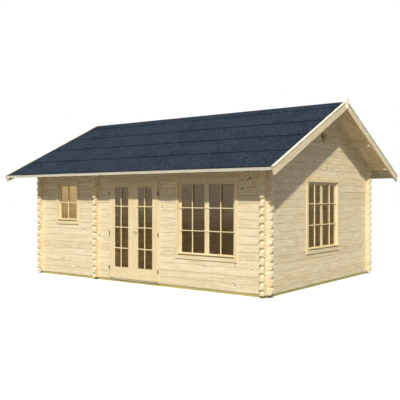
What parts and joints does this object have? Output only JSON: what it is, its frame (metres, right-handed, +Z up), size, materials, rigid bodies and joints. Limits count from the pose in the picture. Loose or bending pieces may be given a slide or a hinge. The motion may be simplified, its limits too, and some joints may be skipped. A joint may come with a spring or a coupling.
{
  "type": "log cabin",
  "caption": "Gabled garden log cabin with notched log corners, a glazed double door, framed windows and a felted pitched roof on open overhangs.",
  "frame": {"origin": "middle of the plan on the ground, under the bearers", "axes": "+X along the ridge towards the glazed gable, -Y out of the long front wall with the double door, +Z up"},
  "size_m": [6.654, 5.322, 3.4514],
  "materials": {
    "logs": "planed spruce, unpainted",
    "boards": "planed spruce, unpainted",
    "joinery": "planed spruce, unpainted",
    "bearers": "pressure-treated, dark green-brown",
    "felt": "mineral-faced bitumen felt",
    "glass": "clear",
    "steel": "plain"
  },
  "bodies": {
    "cabin": {"apex_blocks": "boards", "back_barge_caps": "boards", "back_bargeboards": "boards", "back_felt_edges": "felt", "back_roof_boards": "boards", "back_roof_felt": "felt", "back_wall_even_logs": "logs", "back_wall_odd_logs": "logs", "cross_bearers": "bearers", "door_casing": "joinery", "door_frame": "joinery", "door_threshold": "joinery", "fascia_boards": "boards", "floor_boards": "boards", "frame_barrels": "steel", "front_barge_caps": "boards", "front_bargeboards": "boards", "front_felt_edges": "felt", "front_roof_boards": "boards", "front_roof_felt": "felt", "front_wall_even_logs": "logs", "front_wall_odd_logs": "logs", "inside_casings": "joinery", "left_gable_even_logs": "logs", "left_gable_odd_logs": "logs", "long_bearers": "bearers", "partition_even_logs": "logs", "partition_odd_logs": "logs", "purlins": "logs", "ridge_felt": "felt", "right_gable_even_logs": "logs", "right_gable_odd_logs": "logs", "window_casings": "joinery", "window_frames": "joinery", "window_glass": "glass", "window_sashes": "joinery", "window_weather_bars": "joinery"},
    "left_leaf": {"left_door_leaf": "joinery", "left_door_glass": "glass", "left_leaf_barrels": "steel"},
    "right_leaf": {"right_door_leaf": "joinery", "right_door_glass": "glass", "right_leaf_barrels": "steel", "lock_plate": "steel"},
    "lever": {"door_lever": "steel"}
  },
  "joints": [
    {"name": "left_leaf_hinge", "type": "hinge", "parent": "cabin", "child": "left_leaf", "pos_m": [-0.712, -2.123, 0.045], "axis": [0, 0, -1], "range_deg": [0, 110]},
    {"name": "right_leaf_hinge", "type": "hinge", "parent": "cabin", "child": "right_leaf", "pos_m": [0.548, -2.123, 0.045], "axis": [0, 0, 1], "range_deg": [0, 110]},
    {"name": "lever_turn", "type": "hinge", "parent": "right_leaf", "child": "lever", "pos_m": [-0.0405, -2.15, 1], "axis": [0, 1, 0], "range_deg": [0, 40]}
  ]
}
